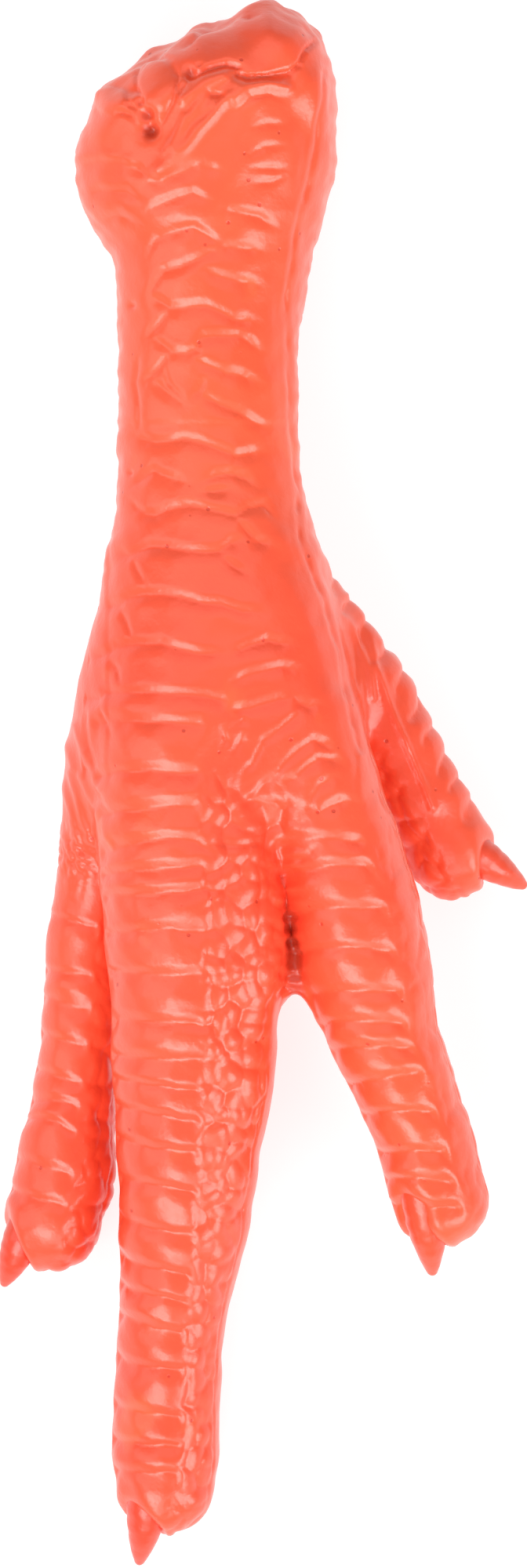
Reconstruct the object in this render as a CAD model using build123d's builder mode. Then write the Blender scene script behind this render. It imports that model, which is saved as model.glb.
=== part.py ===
"""Toy chicken foot: a hollow moulded rubber leg with four toes and a squeaker.

The foot lies on its back face: +Z points away from the table, +Y points to the
hock, +X to the side of the hind toe.  Lengths in mm.  The skin is one moulding;
its four toes are kept as parts of their own, each with a ball shaped root that
sits in a cup of the palm, so that every toe can bend where the real skin flexes.
"""
import os

from build123d import *

os.makedirs("parts", exist_ok=True)

# --- driving dimensions -------------------------------------------------------
WALL = 2.4             # rubber skin of the leg
TOE_WALL = 2.2         # rubber skin of the toes
JOINT_GAP = 0.45       # air between a toe root and its cup
CUP_WALL = 1.6         # skin of a cup
WEB = (4.0, -18.0, 22.0, 14.0, 24.0, 7.0)   # fold of skin between two toes: middle, size
FACET_DROP = 0.35      # how much of the hock is flattened where it rests
SHIFT_X = 0.0          # puts the middle of the whole foot on the origin
SHIFT_Y = 0.0

# squeaker
SQUEAK_ANGLE = 40.0    # the squeaker points this far below the leg's own axis
SQUEAK_FACE = (-2.5, 106.6, 7.2)   # middle of the flange's outer face
COLLAR = 1.6           # rubber round the flange
FLANGE_R, FLANGE_T = 7.0, 1.2
BARREL_R, BARREL_WALL, BARREL_LEN = 5.6, 1.0, 12.0
SOUND_HOLE_R = 1.5
AIR_HOLE_R = 2.0
CAP_T = 1.4
REED_W, REED_T, REED_LEN = 3.8, 0.2, 7.6

# --- axes of the limbs: x, y, z, half width, half depth -----------------------
LEG = [
    (0.8, 114.2, 17.0, 3.6, 6.0), (0.6, 111.6, 17.0, 6.8, 9.6),
    (-2.0, 108.4, 17.0, 11.3, 12.3), (-5.0, 104.5, 16.8, 15.3, 14.6),
    (-7.3, 98.5, 16.4, 17.8, 16.2), (-8.4, 91.0, 16.3, 18.3, 16.3 + FACET_DROP),
    (-8.0, 84.0, 16.7, 16.8, 15.4), (-7.8, 76.0, 17.4, 14.2, 13.8),
    (-8.1, 66.0, 18.2, 13.0, 12.6), (-8.0, 52.0, 19.1, 13.1, 12.4),
    (-7.8, 38.0, 20.5, 14.0, 12.9), (-9.8, 24.0, 22.8, 14.0, 13.3),
    (-11.6, 8.0, 24.8, 13.2, 13.1), (-11.6, -8.0, 25.3, 12.1, 12.7),
    (-10.7, -22.0, 24.7, 12.0, 12.2), (-10.3, -33.0, 23.4, 12.0, 12.0),
]
MIDDLE = [
    (-10.3, -33.0, 23.4, 12.0, 12.0), (-10.3, -42.0, 21.8, 12.0, 11.6),
    (-10.6, -51.0, 19.9, 11.3, 11.0), (-11.3, -60.0, 17.9, 10.1, 10.4),
    (-12.2, -69.0, 15.7, 9.0, 9.8), (-13.2, -78.0, 13.4, 8.0, 9.3),
    (-14.0, -87.0, 11.0, 7.8, 8.9), (-14.3, -95.0, 9.4, 7.9, 8.8),
    (-14.4, -100.5, 8.7, 7.6, 8.6), (-14.4, -104.6, 8.2, 6.4, 7.6),
    (-14.2, -107.6, 7.8, 4.4, 5.4), (-14.0, -109.6, 7.6, 1.6, 2.0),
]
INNER_PALM = [
    (-4.1, 34.5, 20.5, 10.5, 11.0), (0.0, 23.0, 22.5, 11.0, 11.6),
    (4.3, 11.5, 23.6, 11.0, 11.8), (8.4, 0.0, 24.0, 10.6, 11.6),
    (11.3, -10.3, 23.8, 9.8, 11.2), (13.9, -22.0, 23.0, 9.4, 10.8),
    (16.6, -33.0, 22.0, 9.2, 10.3),
]
INNER = [
    (16.6, -33.0, 22.0, 9.2, 10.3), (19.4, -41.5, 20.8, 8.4, 9.8),
    (22.3, -50.0, 19.3, 7.7, 9.3), (24.6, -57.0, 17.9, 7.5, 9.0),
    (26.0, -61.6, 16.9, 6.9, 8.4), (27.0, -65.0, 16.2, 5.4, 6.8),
    (27.6, -67.4, 15.8, 2.2, 3.0),
]
OUTER_PALM = [
    (-13.5, 25.0, 19.5, 9.6, 10.0), (-18.0, 14.0, 18.0, 8.8, 9.6),
    (-21.8, 3.0, 16.4, 7.6, 8.6), (-24.9, -7.0, 14.3, 6.2, 6.8),
    (-26.9, -16.0, 12.6, 5.4, 5.7),
]
OUTER = [
    (-26.9, -16.0, 12.6, 5.4, 5.7), (-27.8, -26.0, 11.2, 5.5, 5.9),
    (-28.2, -36.0, 10.0, 6.0, 6.5), (-28.7, -46.0, 9.0, 6.5, 7.1),
    (-29.6, -55.0, 8.1, 6.9, 7.4), (-30.6, -62.0, 7.4, 6.7, 7.3),
    (-31.3, -66.5, 6.9, 5.8, 6.5), (-31.7, -69.6, 6.7, 4.0, 4.6),
    (-31.9, -71.2, 6.6, 1.6, 2.0),
]
HIND_PALM = [
    (-2.0, 39.0, 20.0, 4.0, 4.0), (4.0, 29.5, 17.8, 5.8, 5.2),
    (9.0, 21.5, 15.4, 6.9, 5.9), (14.0, 13.8, 13.0, 7.5, 6.5),
    (18.6, 6.8, 10.9, 7.5, 6.7), (22.9, -0.4, 9.6, 7.2, 6.6),
]
HIND = [
    (22.9, -0.4, 9.6, 7.2, 6.6), (25.4, -4.8, 8.4, 7.0, 6.5),
    (27.4, -8.3, 7.6, 6.7, 6.2), (28.9, -11.2, 6.9, 5.8, 5.4),
    (30.0, -13.4, 6.5, 4.2, 4.0), (30.9, -15.2, 6.2, 1.6, 1.7),
]

# bends: middle of the ball, direction of the toe, radius of the ball
BEND_MIDDLE = ((-10.3, -33.0, 23.4), (0.0, -0.986, -0.165), 12.9)
BEND_INNER = ((16.6, -33.0, 22.0), (0.295, -0.947, -0.125), 11.1)
BEND_OUTER = ((-26.9, -16.0, 12.6), (-0.09, -0.984, -0.150), 6.2)
BEND_HIND = ((22.9, -0.4, 9.6), (0.495, -0.845, -0.200), 7.8)

# claws: root, tip, radius at the root, how far the middle of the arc rises
CLAW_MIDDLE = ((-16.4, -101.0, 12.6), (-18.4, -114.8, 6.0), 4.3, 1.6)
CLAW_INNER = ((23.2, -59.5, 20.6), (24.8, -71.9, 15.4), 3.4, 1.2)
CLAW_OUTER = ((-34.2, -64.8, 9.6), (-37.9, -73.7, 4.6), 3.2, 0.9)
CLAW_HIND = ((29.8, -8.6, 9.2), (38.3, -15.2, 4.6), 3.0, 0.9)


def place(x, y, z):
    return Vector(x + SHIFT_X, y + SHIFT_Y, z)


def limb(stations, inset=0.0, start=None, end=None, pull=(0.0, 0.0), mode=Mode.ADD):
    """Loft elliptical sections square to the axis of a limb."""
    points = [place(x, y, z) for x, y, z, _, _ in stations]
    last = len(points) - 1
    sections = []
    for i, (_, _, _, half_w, half_d) in enumerate(stations):
        along = (points[min(i + 1, last)] - points[max(i - 1, 0)]).normalized()
        if i == 0 and start is not None:
            along = Vector(*start)
        if i == last and end is not None:
            along = Vector(*end)
        point = points[i]
        if i == 0:
            point = point + along * pull[0]
        if i == last:
            point = point - along * pull[1]
        across = Vector(0, 0, 1).cross(along).normalized()
        with BuildSketch(Plane(origin=point, x_dir=across, z_dir=along)) as ring:
            Ellipse(max(half_w - inset, 0.6), max(half_d - inset, 0.6))
        sections.append(ring.sketch.face())
    loft(sections, mode=mode)


def ball(bend, radius, mode=Mode.ADD):
    centre, _, _ = bend
    with Locations(Location(place(*centre))):
        Sphere(radius, mode=mode)


def bend_plane(bend, along=0.0):
    """Plane across a toe at its bend; its normal runs towards the toe's tip."""
    centre, direction, _ = bend
    normal = Vector(*direction).normalized()
    across = Vector(0, 0, 1).cross(normal).normalized()
    return Plane(origin=place(*centre) + normal * along, x_dir=across, z_dir=normal)


def cup(bend, radius):
    """Half ball that closes the palm behind a bend."""
    plane = bend_plane(bend)
    section = Plane(origin=plane.origin, x_dir=plane.z_dir, z_dir=plane.x_dir)
    with BuildSketch(section) as quarter:
        with BuildLine():
            Line((0, 0), (0, radius))
            CenterArc((0, 0), radius, 90, 90)
            Line((-radius, 0), (0, 0))
        make_face()
    revolve(quarter.sketch.face(), axis=Axis(plane.origin, plane.z_dir))


def passage(bend, radius, start, length):
    """Air way between the palm and a toe."""
    with BuildSketch(bend_plane(bend, start)) as hole:
        Circle(radius)
    extrude(hole.sketch.face(), amount=length, mode=Mode.SUBTRACT)


def claw(spec):
    """Bent cone: round root, blunt point."""
    root, tip, radius, rise = spec
    a, b = place(*root), place(*tip)
    sections = []
    for f, r in ((0.0, 1.0), (0.3, 0.94), (0.55, 0.74), (0.78, 0.48), (1.0, 0.16)):
        lift = rise * 4 * f * (1 - f)
        point = a + (b - a) * f + Vector(0, 0, lift)
        slope = (b - a).normalized() + Vector(0, 0, rise * 4 * (1 - 2 * f) / (b - a).length)
        across = Vector(0, 0, 1).cross(slope).normalized()
        with BuildSketch(Plane(origin=point, x_dir=across, z_dir=slope)) as ring:
            Ellipse(radius * r, radius * r * 1.05)
        sections.append(ring.sketch.face())
    loft(sections)


# --- squeaker axis: out of the end of the hock, turned down ---------------------
_face = place(*SQUEAK_FACE)
_turn = Vector(0, 1, 0).rotate(Axis.X, -SQUEAK_ANGLE)


def squeak_plane(along):
    """Plane square to the squeaker; along is measured back from the flange's face."""
    return Plane(origin=_face - _turn * along, x_dir=(1, 0, 0), z_dir=-_turn)


# --- leg ------------------------------------------------------------------------
with BuildPart() as leg_skin:
    limb(LEG, end=BEND_MIDDLE[1])
    limb(INNER_PALM, end=BEND_INNER[1])
    limb(OUTER_PALM, end=BEND_OUTER[1])
    limb(HIND_PALM, end=BEND_HIND[1])
    with Locations(Location(place(*WEB[:3]))):
        Box(*WEB[3:])
    limb(LEG, WALL, end=BEND_MIDDLE[1], pull=(WALL, 0), mode=Mode.SUBTRACT)
    limb(INNER_PALM, WALL, end=BEND_INNER[1], mode=Mode.SUBTRACT)
    limb(OUTER_PALM, WALL, end=BEND_OUTER[1], mode=Mode.SUBTRACT)
    limb(HIND_PALM, WALL, end=BEND_HIND[1], mode=Mode.SUBTRACT)
    for bend in (BEND_MIDDLE, BEND_INNER, BEND_OUTER, BEND_HIND):
        cup(bend, bend[2] + JOINT_GAP + CUP_WALL)
    for bend in (BEND_MIDDLE, BEND_INNER, BEND_OUTER, BEND_HIND):
        ball(bend, bend[2] + JOINT_GAP, mode=Mode.SUBTRACT)
        passage(bend, bend[2] * 0.38, -bend[2] - 4.0, 8.0)
    # thick collar that grips the squeaker
    with BuildSketch(squeak_plane(0.0)):
        Circle(FLANGE_R + COLLAR)
    extrude(amount=6.0)
    with BuildSketch(squeak_plane(-12.0)):
        Circle(FLANGE_R + 0.3)
    extrude(amount=12.0, mode=Mode.SUBTRACT)
    with BuildSketch(squeak_plane(0.0)):
        Circle(FLANGE_R)
    extrude(amount=FLANGE_T, mode=Mode.SUBTRACT)
    with BuildSketch(squeak_plane(0.0)):
        Circle(BARREL_R)
    extrude(amount=8.0, mode=Mode.SUBTRACT)
    # flat the hock rests on
    with Locations((0, 60, -5)):
        Box(120, 160, 10, mode=Mode.SUBTRACT)
leg_skin.part.label = "leg_skin"
export_step(leg_skin.part, "parts/leg_skin.step")


# --- toes -----------------------------------------------------------------------
def toe_outside(stations, bend):
    limb(stations, start=bend[1])
    ball(bend, bend[2])


def toe_hollow(stations, bend):
    limb(stations, TOE_WALL, start=bend[1], pull=(-1.0, TOE_WALL), mode=Mode.SUBTRACT)
    ball(bend, bend[2] - TOE_WALL, mode=Mode.SUBTRACT)
    passage(bend, bend[2] * 0.38, -bend[2] - 4.0, 8.0)


with BuildPart() as middle_form:
    toe_outside(MIDDLE, BEND_MIDDLE)
with BuildPart() as middle_toe:
    add(middle_form.part)
    toe_hollow(MIDDLE[:-1], BEND_MIDDLE)
middle_toe.part.label = "middle_toe"
export_step(middle_toe.part, "parts/middle_toe.step")

with BuildPart() as middle_claw:
    claw(CLAW_MIDDLE)
    add(middle_form.part, mode=Mode.SUBTRACT)
middle_claw.part.label = "middle_claw"
export_step(middle_claw.part, "parts/middle_claw.step")

with BuildPart() as inner_form:
    toe_outside(INNER, BEND_INNER)
with BuildPart() as inner_toe:
    add(inner_form.part)
    toe_hollow(INNER[:-1], BEND_INNER)
inner_toe.part.label = "inner_toe"
export_step(inner_toe.part, "parts/inner_toe.step")

with BuildPart() as inner_claw:
    claw(CLAW_INNER)
    add(inner_form.part, mode=Mode.SUBTRACT)
inner_claw.part.label = "inner_claw"
export_step(inner_claw.part, "parts/inner_claw.step")

with BuildPart() as outer_form:
    toe_outside(OUTER, BEND_OUTER)
with BuildPart() as outer_toe:
    add(outer_form.part)
    toe_hollow(OUTER[:-1], BEND_OUTER)
outer_toe.part.label = "outer_toe"
export_step(outer_toe.part, "parts/outer_toe.step")

with BuildPart() as outer_claw:
    claw(CLAW_OUTER)
    add(outer_form.part, mode=Mode.SUBTRACT)
outer_claw.part.label = "outer_claw"
export_step(outer_claw.part, "parts/outer_claw.step")

with BuildPart() as hind_form:
    toe_outside(HIND, BEND_HIND)
    with Locations((0, 60, -5)):
        Box(120, 160, 10, mode=Mode.SUBTRACT)
with BuildPart() as hind_toe:
    add(hind_form.part)
    toe_hollow(HIND[:-1], BEND_HIND)
hind_toe.part.label = "hind_toe"
export_step(hind_toe.part, "parts/hind_toe.step")

with BuildPart() as hind_claw:
    claw(CLAW_HIND)
    add(hind_form.part, mode=Mode.SUBTRACT)
hind_claw.part.label = "hind_claw"
export_step(hind_claw.part, "parts/hind_claw.step")

# --- squeaker ---------------------------------------------------------------------
# barrel: flange and tube in one, with a floor that the sound leaves through
with BuildPart() as squeaker_barrel:
    with BuildSketch(squeak_plane(0.0)):
        Circle(FLANGE_R)
    extrude(amount=FLANGE_T)
    with BuildSketch(squeak_plane(0.0)):
        Circle(BARREL_R)
    extrude(amount=BARREL_LEN)
    with BuildSketch(squeak_plane(FLANGE_T + 0.4)):
        Circle(BARREL_R - BARREL_WALL)
    extrude(amount=BARREL_LEN, mode=Mode.SUBTRACT)
    with BuildSketch(squeak_plane(-1.0)):
        Circle(SOUND_HOLE_R)
    extrude(amount=4.0, mode=Mode.SUBTRACT)
squeaker_barrel.part.label = "squeaker_barrel"
export_step(squeaker_barrel.part, "parts/squeaker_barrel.step")

INSIDE_R = BARREL_R - BARREL_WALL
REED_START = FLANGE_T + 0.4     # the reed's clamp stands on the barrel's floor

# cap: closes the inner end; its spigot sits in the barrel
with BuildPart() as squeaker_cap:
    with BuildSketch(squeak_plane(BARREL_LEN)):
        Circle(BARREL_R)
    extrude(amount=CAP_T)
    with BuildSketch(squeak_plane(BARREL_LEN - 1.2)):
        Circle(INSIDE_R)
    extrude(amount=1.2)
    with BuildSketch(squeak_plane(BARREL_LEN - 3.0)):
        Circle(AIR_HOLE_R)
    extrude(amount=8.0, mode=Mode.SUBTRACT)
squeaker_cap.part.label = "squeaker_cap"
export_step(squeaker_cap.part, "parts/squeaker_cap.step")

# holder: half round plug with a trough that the reed covers
with BuildPart() as reed_holder:
    with BuildSketch(squeak_plane(REED_START)):
        with BuildLine():
            CenterArc((0, 0), INSIDE_R, 0, 180)
            Line((-INSIDE_R, 0), (INSIDE_R, 0))
        make_face()
    extrude(amount=2.4)
    with BuildSketch(squeak_plane(REED_START + 2.4)):
        with Locations((0, 1.3)):
            Rectangle(4.8, 2.6)
    extrude(amount=5.6)
    with BuildSketch(squeak_plane(REED_START)):
        with Locations((0, 0.6)):
            Rectangle(2.6, 1.2)
    extrude(amount=6.6, mode=Mode.SUBTRACT)
reed_holder.part.label = "reed_holder"
export_step(reed_holder.part, "parts/reed_holder.step")

# wedge: other half of the plug; it pinches the reed's root against the holder
with BuildPart() as reed_wedge:
    with BuildSketch(squeak_plane(REED_START)):
        with BuildLine():
            CenterArc((0, 0), INSIDE_R, 180, 180)
            Line((-INSIDE_R, 0), (INSIDE_R, 0))
        make_face()
    extrude(amount=2.4)
    with BuildSketch(squeak_plane(REED_START)):
        with Locations((0, -REED_T / 2)):
            Rectangle(REED_W, REED_T)
    extrude(amount=2.4, mode=Mode.SUBTRACT)
reed_wedge.part.label = "reed_wedge"
export_step(reed_wedge.part, "parts/reed_wedge.step")

# reed: thin tongue, clamped for its first 2.4 mm, free over the trough
with BuildPart() as reed:
    with BuildSketch(squeak_plane(REED_START)):
        with Locations((0, -REED_T / 2)):
            Rectangle(REED_W, REED_T)
    extrude(amount=REED_LEN)
reed.part.label = "reed"
export_step(reed.part, "parts/reed.step")

PARTS = [leg_skin, middle_toe, middle_claw, inner_toe, inner_claw, outer_toe, outer_claw,
         hind_toe, hind_claw, squeaker_barrel, squeaker_cap, reed_holder, reed_wedge, reed]
for piece in PARTS:
    box = piece.part.bounding_box()
    print(piece.part.label, len(piece.part.solids()), round(piece.part.volume, 1),
          [round(v, 2) for v in (box.min.X, box.min.Y, box.min.Z, box.max.X, box.max.Y, box.max.Z)])
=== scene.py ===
import math

import bpy
import numpy as np
import openvdb
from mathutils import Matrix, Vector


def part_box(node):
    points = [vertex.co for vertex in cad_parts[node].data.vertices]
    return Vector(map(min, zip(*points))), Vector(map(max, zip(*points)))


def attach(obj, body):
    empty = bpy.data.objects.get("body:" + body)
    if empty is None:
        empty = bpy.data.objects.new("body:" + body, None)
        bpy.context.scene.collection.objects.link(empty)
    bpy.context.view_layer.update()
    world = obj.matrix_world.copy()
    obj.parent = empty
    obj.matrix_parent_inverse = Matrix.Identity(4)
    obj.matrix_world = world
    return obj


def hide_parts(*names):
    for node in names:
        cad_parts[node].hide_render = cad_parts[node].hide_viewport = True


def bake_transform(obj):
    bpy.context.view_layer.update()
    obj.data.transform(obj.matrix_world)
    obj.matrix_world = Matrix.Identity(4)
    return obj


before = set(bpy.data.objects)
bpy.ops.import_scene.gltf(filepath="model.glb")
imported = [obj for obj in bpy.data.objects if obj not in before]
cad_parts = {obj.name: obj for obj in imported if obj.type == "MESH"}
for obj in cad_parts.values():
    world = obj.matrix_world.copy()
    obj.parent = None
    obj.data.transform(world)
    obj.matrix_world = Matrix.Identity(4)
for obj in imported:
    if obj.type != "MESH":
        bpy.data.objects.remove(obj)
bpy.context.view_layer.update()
MM = 0.001
rng = np.random.default_rng(7)


# ------------------------------------------------------------------ helpers
def smooth(t):
    t = np.clip(t, 0.0, 1.0)
    return t * t * (3 - 2 * t)


def ramp(v, a, b):
    """0 before a, 1 after b, smooth between; a may be above b."""
    return smooth((v - a) / (b - a))


class Limb:
    """A tapered limb: a curved axis with elliptical sections and rounded ends."""

    def __init__(self, rows, cap0, cap1):
        rows = np.array(rows, float)
        n = len(rows)
        t = np.arange(n)
        fine = np.linspace(0, n - 1, 24 * (n - 1) + 1)
        tan = np.gradient(rows, axis=0)
        i = np.clip(fine.astype(int), 0, n - 2)
        f = (fine - i)[:, None]
        h00, h10 = 2 * f**3 - 3 * f**2 + 1, f**3 - 2 * f**2 + f
        h01, h11 = -2 * f**3 + 3 * f**2, f**3 - f**2
        d = h00 * rows[i] + h10 * tan[i] + h01 * rows[i + 1] + h11 * tan[i + 1]
        self.c = d[:, :3]
        self.ab = d[:, 3:5]
        self.s = np.r_[0, np.cumsum(np.linalg.norm(np.diff(self.c, axis=0), axis=1))]
        self.length = self.s[-1]
        tg = np.gradient(self.c, axis=0)
        self.t = tg / np.linalg.norm(tg, axis=1)[:, None]
        chord = self.c[-1] - self.c[0]
        self.chord = chord / np.linalg.norm(chord)
        self.proj = np.maximum.accumulate((self.c - self.c[0]) @ self.chord)
        self.cap0, self.cap1 = cap0, cap1

    def at(self, s, what):
        return np.stack([np.interp(s, self.s, what[:, k]) for k in range(what.shape[1])], -1)

    def coords(self, q):
        """s along the axis, u across, v up, excess past the ends, half axes."""
        s = np.interp((q - self.c[0]) @ self.chord, self.proj, self.s)
        for _ in range(3):
            c, t = self.at(s, self.c), self.at(s, self.t)
            s = np.clip(s + np.einsum("ij,ij->i", q - c, t), 0, self.length)
        c, t = self.at(s, self.c), self.at(s, self.t)
        t /= np.linalg.norm(t, axis=1)[:, None]
        x = np.stack([-t[:, 1], t[:, 0], np.zeros(len(t))], -1)
        x /= np.linalg.norm(x, axis=1)[:, None]
        v = np.cross(t, x)
        d = q - c
        ab = self.at(s, self.ab)
        return (s, np.einsum("ij,ij->i", d, x), np.einsum("ij,ij->i", d, v),
                np.einsum("ij,ij->i", d, t), ab[:, 0], ab[:, 1])

    def field(self, q):
        s, u, v, w, a, b = self.coords(q)
        w = np.where((s <= 1e-6) | (s >= self.length - 1e-6), w, 0.0)
        cap = np.where(s < self.length / 2, self.cap0, self.cap1)
        k0 = np.sqrt((u / a) ** 2 + (v / b) ** 2 + (w / cap) ** 2)
        k1 = np.sqrt((u / a**2) ** 2 + (v / b**2) ** 2 + (w / cap**2) ** 2) + 1e-9
        return k0 * (k0 - 1) / k1

    def s_at_y(self, y):
        """axis length at a place along the foot (y falls along every limb)"""
        return np.interp(-np.asarray(y, float), -self.c[:, 1], self.s)


def smin(a, b, k):
    k = np.maximum(k, 1e-3)
    h = np.maximum(k - np.abs(a - b), 0) / k
    return np.minimum(a, b) - h * h * k * 0.25


# noise: sums of waves in fixed directions
def waves(q, size, seed, n=9):
    r = np.random.default_rng(seed)
    out = np.zeros(len(q))
    for _ in range(n):
        d = r.normal(size=3)
        d /= np.linalg.norm(d)
        out += np.sin(q @ d * (2 * math.pi / (size * r.uniform(0.75, 1.35))) + r.uniform(0, 6.28))
    return out / n**0.5


def cells(q, size, seed):
    """distance to the nearest and second nearest of jittered points, in cell sizes"""
    p = q / size
    base = np.floor(p).astype(np.int64)
    f1 = np.full(len(q), 9.0)
    f2 = np.full(len(q), 9.0)
    for dx in (-1, 0, 1):
        for dy in (-1, 0, 1):
            for dz in (-1, 0, 1):
                c = base + np.array([dx, dy, dz])
                h = (c[:, 0] * 73856093) ^ (c[:, 1] * 19349663) ^ (c[:, 2] * 83492791) ^ (seed * 2654435761)
                j = np.empty((len(q), 3))
                for k in range(3):
                    h = (h * 1103515245 + 12345) & 0x7FFFFFFF
                    j[:, k] = ((h >> 8) & 0xFFFF) / 65535.0
                d = np.linalg.norm(c + 0.15 + 0.7 * j - p, axis=1)
                m = d < f1
                f2 = np.where(m, f1, np.minimum(f2, d))
                f1 = np.where(m, d, f1)
    return f1, f2


# ------------------------------------------------------------------ form
# rows: x, y, z, half width, half depth
MAIN = Limb([
    (-8.0, 116.0, 15.0, 17.0, 8.0), (-8.0, 110.0, 15.8, 18.0, 12.6),
    (-8.0, 104.0, 16.3, 18.8, 15.2), (-8.2, 98.0, 16.4, 19.0, 16.2),
    (-8.5, 93.0, 16.3, 19.1, 16.4), (-8.3, 87.4, 16.3, 18.5, 16.2), (-7.7, 81.6, 16.6, 16.3, 15.4),
    (-7.5, 76.8, 17.2, 14.4, 14.1), (-7.9, 70.4, 17.8, 13.5, 13.0),
    (-8.1, 63.3, 18.3, 13.0, 12.6), (-8.1, 57.5, 18.7, 13.0, 12.4),
    (-8.1, 48.3, 19.3, 13.3, 12.4), (-7.8, 40.2, 20.3, 13.9, 12.7), (-7.6, 34.5, 21.1, 14.9, 13.0),
    (-8.3, 26.5, 22.3, 14.5, 13.2), (-10.0, 17.2, 23.6, 13.8, 13.2),
    (-11.3, 9.2, 24.6, 13.3, 13.1), (-11.7, 2.3, 25.0, 12.8, 13.0),
    (-11.4, -6.9, 25.2, 13.0, 12.8), (-10.7, -16.1, 24.9, 13.0, 12.5),
    (-10.2, -25.3, 24.2, 12.8, 12.2), (-10.4, -33.0, 23.3, 11.9, 12.0),
    (-10.2, -41.4, 22.0, 12.1, 11.6), (-10.8, -50.6, 20.0, 10.9, 11.0),
    (-11.3, -59.8, 17.9, 10.0, 10.4), (-12.2, -69.0, 15.6, 9.0, 9.8),
    (-13.4, -78.2, 13.2, 7.9, 9.3), (-14.0, -87.4, 10.9, 7.8, 8.9),
    (-14.3, -94.3, 9.5, 7.9, 8.8), (-14.4, -99.5, 8.8, 7.8, 8.7), (-14.4, -102.6, 8.4, 7.3, 8.2)],
    cap0=5.6, cap1=8.0)
INNER = Limb([
    (-3.6, 33.5, 20.5, 6.6, 8.0), (0.8, 23.0, 22.2, 9.2, 11.0),
    (3.7, 11.5, 23.6, 9.9, 11.8), (7.2, 0.0, 24.2, 9.4, 11.6),
    (10.8, -10.3, 24.0, 9.5, 11.2), (13.5, -19.6, 23.3, 9.6, 10.8),
    (15.6, -28.8, 22.4, 9.2, 10.4), (17.7, -36.8, 21.5, 8.1, 10.0),
    (20.7, -44.3, 20.3, 7.4, 9.6), (23.1, -50.6, 19.1, 7.1, 9.2),
    (24.9, -56.9, 17.9, 7.1, 9.0), (26.2, -61.4, 16.9, 6.9, 8.5)],
    cap0=6.0, cap1=6.3)
OUTER = Limb([
    (-12.2, 30.0, 19.5, 8.4, 9.4), (-16.5, 17.0, 18.7, 8.9, 9.8),
    (-20.0, 6.0, 17.4, 8.4, 9.2), (-22.5, -4.6, 15.6, 7.2, 8.0),
    (-24.5, -14.0, 13.5, 6.0, 6.4), (-25.8, -22.0, 12.0, 5.9, 6.2),
    (-26.4, -31.0, 10.7, 6.0, 6.6), (-27.1, -40.0, 9.6, 5.9, 6.9),
    (-28.4, -50.0, 8.7, 6.6, 7.4), (-29.4, -58.0, 7.9, 7.4, 7.5),
    (-30.9, -64.4, 7.4, 7.1, 7.2)],
    cap0=5.0, cap1=7.6)
HIND = Limb([
    (-1.0, 36.0, 18.8, 4.6, 5.0), (3.6, 28.7, 17.4, 5.8, 5.6),
    (8.6, 21.1, 15.2, 6.6, 6.2), (13.5, 14.1, 13.0, 7.6, 6.6),
    (17.8, 7.6, 11.0, 7.1, 6.8), (21.4, 1.4, 9.6, 6.6, 6.7),
    (24.6, -4.2, 8.4, 6.5, 6.5), (27.3, -9.7, 7.5, 6.8, 6.3)],
    cap0=4.0, cap1=7.3)
LIMBS = (MAIN, INNER, OUTER, HIND)
FLANK = Limb([
    (-3.8, 6.0, 25.2, 3.6, 6.8), (-3.2, -6.0, 26.2, 5.0, 8.2), (-3.0, -16.0, 26.2, 5.5, 8.6),
    (-2.9, -26.0, 25.0, 5.7, 8.3), (-3.4, -33.0, 23.2, 4.6, 7.2)], cap0=4.0, cap1=3.6)

# lumps at the cut end of the hock: x, y, z, radii, blend
LUMPS = [
    (1.6, 107.2, 20.0, 7.4, 7.2, 9.4, 2.6), (5.6, 101.2, 20.5, 4.4, 7.6, 7.6, 2.4),
    (-15.6, 100.8, 23.0, 2.3, 3.6, 5.2, 0.9), (-9.5, 102.2, 21.0, 5.0, 4.0, 6.0, 1.6),
    (-21.4, 98.2, 19.0, 2.6, 2.6, 4.0, 1.2), (-25.4, 92.2, 18.0, 1.7, 1.8, 3.4, 1.2),
    (-2.5, 98.8, 24.5, 6.0, 3.6, 7.4, 2.0),
]

H = 0.72
LOW = np.array([-42.0, -119.0, -3.2])
N = np.array([118, 332, 63])
axes = [LOW[k] + H * np.arange(N[k]) for k in range(3)]


def box_field(fn, lo, hi, far=6.0):
    """evaluate fn on the part of the grid between two corners"""
    i0 = np.maximum(((np.array(lo) - LOW) / H).astype(int), 0)
    i1 = np.minimum(((np.array(hi) - LOW) / H).astype(int) + 2, N)
    gx, gy, gz = np.meshgrid(axes[0][i0[0]:i1[0]], axes[1][i0[1]:i1[1]], axes[2][i0[2]:i1[2]], indexing="ij")
    q = np.stack([gx.ravel(), gy.ravel(), gz.ravel()], -1)
    out = np.full(tuple(N), far, np.float64)
    out[i0[0]:i1[0], i0[1]:i1[1], i0[2]:i1[2]] = fn(q).reshape(gx.shape)
    return out


def limb_box(l):
    r = np.max(l.ab) + 7
    return l.c.min(0) - r, l.c.max(0) + r


fields = [box_field(l.field, *limb_box(l)) for l in LIMBS]
Y = axes[1][None, :, None]
k_inner = 1.0 + 7.5 * ramp(Y, -13.0, 2.0)
k_outer = 0.5 + 5.0 * ramp(Y, -15.0, 6.0)
k_hind = 0.5 + 3.6 * ramp(Y, -2.0, 14.0)
fields[0] = smin(fields[0], box_field(FLANK.field, *limb_box(FLANK)), 3.2)
D = smin(fields[0], fields[1], k_inner * np.ones_like(fields[0]))


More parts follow.
